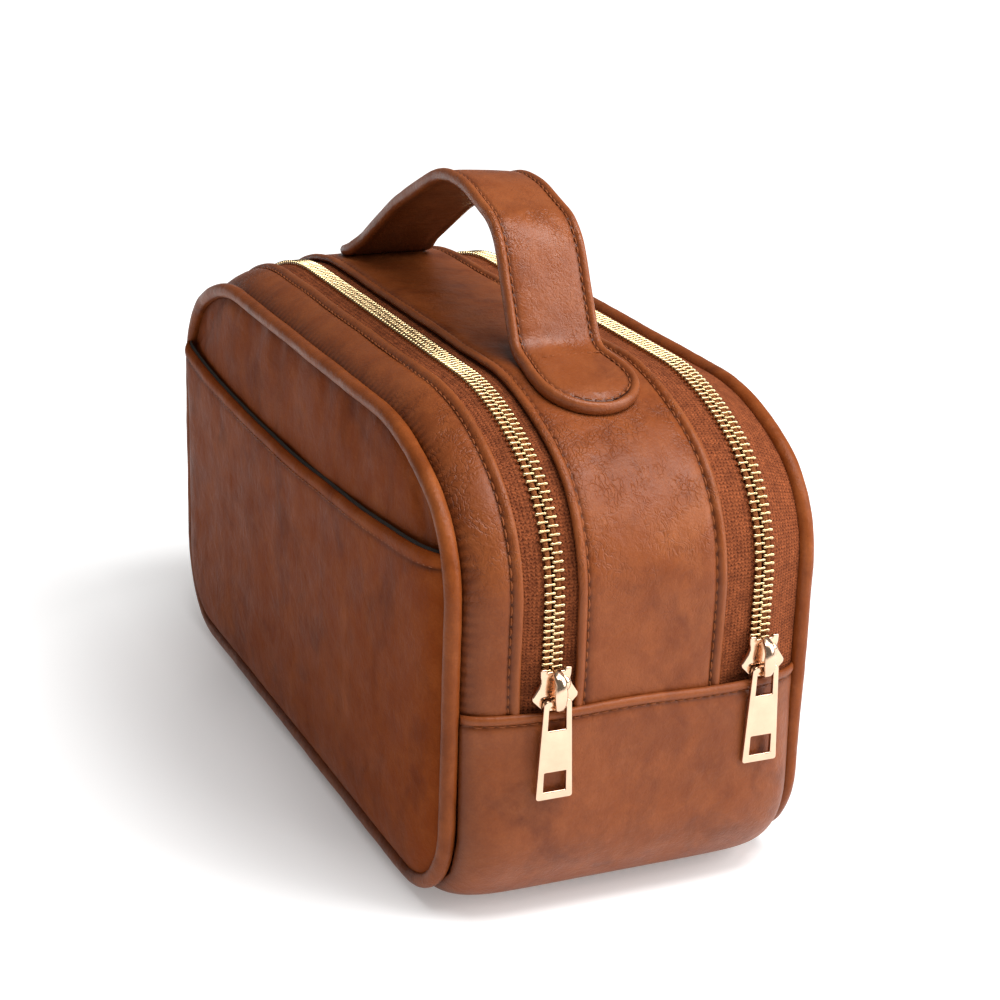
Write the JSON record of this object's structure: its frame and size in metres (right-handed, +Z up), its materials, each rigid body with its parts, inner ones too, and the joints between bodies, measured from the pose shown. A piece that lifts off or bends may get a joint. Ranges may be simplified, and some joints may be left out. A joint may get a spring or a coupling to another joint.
{
  "type": "toiletry bag",
  "caption": "Structured two-compartment toiletry bag with piped side panels, slip pocket, curved zips with pulls and a top carry handle.",
  "frame": {"origin": "middle of the flat base, on the ground", "axes": "+X along the bag towards the end where the zip sliders hang, +Z up, the slip pocket on the -Y side"},
  "size_m": [0.2843, 0.1234, 0.2005],
  "materials": {
    "zip_tape": "woven, matt",
    "zip_brass": "bright brass",
    "polished_gold": "polished pale gold plate",
    "lining_cloth": "plain dark woven lining",
    "filler": "soft foam, unseen",
    "base_board": "plain stiff board",
    "piping_leather": "semi-gloss, rolled",
    "handle_leather": "semi-gloss, folded edges",
    "leather": "semi-gloss, mottled, fine creases"
  },
  "bodies": {
    "bag_body": {"back_foam_lower": "filler", "back_lining_lower": "lining_cloth", "back_panel_lower": "leather", "back_piping_cord_lower": "filler", "back_piping_lower": "piping_leather", "back_zip_stops": "zip_brass", "back_zip_tape_ends": "zip_tape", "back_zip_tape_inner": "zip_tape", "back_zip_teeth_ends": "zip_brass", "back_zip_teeth_inner": "zip_brass", "base_band": "leather", "base_board": "base_board", "base_lining": "lining_cloth", "centre_gusset": "leather", "centre_gusset_lining": "lining_cloth", "divider_panel": "lining_cloth", "front_foam_lower": "filler", "front_lining_lower": "lining_cloth", "front_panel_lower": "leather", "front_piping_cord_lower": "filler", "front_piping_lower": "piping_leather", "front_zip_stops": "zip_brass", "front_zip_tape_ends": "zip_tape", "front_zip_tape_inner": "zip_tape", "front_zip_teeth_ends": "zip_brass", "front_zip_teeth_inner": "zip_brass", "handle_backing": "handle_leather", "handle_core": "filler", "handle_face": "handle_leather", "pocket_lining_lower": "lining_cloth", "pocket_panel_lower": "leather"},
    "front_flap": {"front_foam_upper": "filler", "front_gusset": "leather", "front_gusset_lining": "lining_cloth", "front_lining_upper": "lining_cloth", "front_panel_upper": "leather", "front_piping_cord_upper": "filler", "front_piping_upper": "piping_leather", "front_zip_tape_outer": "zip_tape", "front_zip_teeth_outer": "zip_brass", "pocket_lining_upper": "lining_cloth", "pocket_panel_upper": "leather"},
    "back_flap": {"back_foam_upper": "filler", "back_lining_upper": "lining_cloth", "back_panel_upper": "leather", "back_piping_cord_upper": "filler", "back_piping_upper": "piping_leather", "back_zip_tape_outer": "zip_tape", "back_zip_teeth_outer": "zip_brass"},
    "front_slider": {"front_slider_body": "polished_gold", "front_slider_bridge": "polished_gold"},
    "front_pull": {"front_pull_tab": "polished_gold"},
    "back_slider": {"back_slider_body": "polished_gold", "back_slider_bridge": "polished_gold"},
    "back_pull": {"back_pull_tab": "polished_gold"}
  },
  "joints": [
    {"name": "front_flap_fold", "type": "hinge", "parent": "bag_body", "child": "front_flap", "pos_m": [0, -0.0638, 0.0704], "axis": [1, 0, 0], "range_deg": [0, 60]},
    {"name": "back_flap_fold", "type": "hinge", "parent": "bag_body", "child": "back_flap", "pos_m": [0, 0.0607, 0.0704], "axis": [-1, 0, 0], "range_deg": [0, 60]},
    {"name": "front_slider_travel", "type": "slide", "parent": "bag_body", "child": "front_slider", "axis": [0, 0, 1], "range_m": [0, 0.018]},
    {"name": "front_pull_swing", "type": "hinge", "parent": "front_slider", "child": "front_pull", "pos_m": [0.1413, -0.03, 0.0737], "axis": [0, -1, 0], "range_deg": [0, 150]},
    {"name": "back_slider_travel", "type": "slide", "parent": "bag_body", "child": "back_slider", "axis": [0, 0, 1], "range_m": [0, 0.018]},
    {"name": "back_pull_swing", "type": "hinge", "parent": "back_slider", "child": "back_pull", "pos_m": [0.1402, 0.0388, 0.0737], "axis": [0, -1, 0], "range_deg": [0, 150]}
  ]
}
